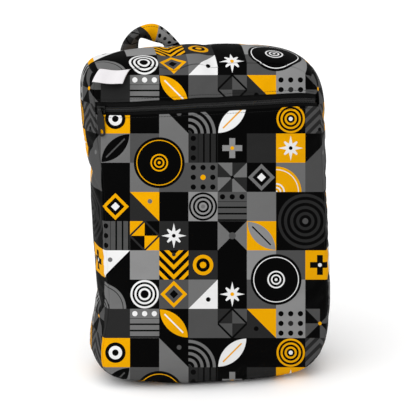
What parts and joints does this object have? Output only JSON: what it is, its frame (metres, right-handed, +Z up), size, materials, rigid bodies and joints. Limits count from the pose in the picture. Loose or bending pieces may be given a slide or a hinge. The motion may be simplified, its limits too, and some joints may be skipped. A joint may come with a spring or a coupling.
{
  "type": "cloth diaper wet bag",
  "caption": "Boxed cloth wet bag with a coil zip across the front, a padded hanging loop in the back seam and a small folded label.",
  "frame": {"origin": "middle of the flat base that the bag stands on", "axes": "+Z up the bag, -Y out of the front panel with the zip, +X towards the closed end of the zip's tape, away from the parked slider"},
  "size_m": [0.3199, 0.1642, 0.4576],
  "materials": {
    "printed_cloth": "woven polyester with a laminated lining, printed in blacks, greys, white and golden yellow",
    "strap_cloth": "the same printed cloth, folded and stitched",
    "zip_tape": "black knitted polyester tape",
    "zip_coil": "black nylon monofilament coil",
    "zip_hardware": "die-cast zinc with black enamel",
    "label_ribbon": "white woven satin ribbon with a dark selvedge"
  },
  "bodies": {
    "bag": {"front_panel_lower": "printed_cloth", "front_panel_upper": "printed_cloth", "back_panel": "printed_cloth", "gusset": "printed_cloth", "zip_tape_upper": "zip_tape", "zip_tape_lower": "zip_tape", "zip_coil": "zip_coil", "zip_slider": "zip_hardware", "hanging_loop": "strap_cloth", "label": "label_ribbon"},
    "pull": {"zip_pull": "zip_hardware"}
  },
  "joints": [
    {"name": "pull_hinge", "type": "hinge", "parent": "bag", "child": "pull", "pos_m": [-0.13784, -0.05524, 0.37174], "axis": [-0.858, 0.5103, -0.0585], "range_deg": [0, 160]}
  ]
}
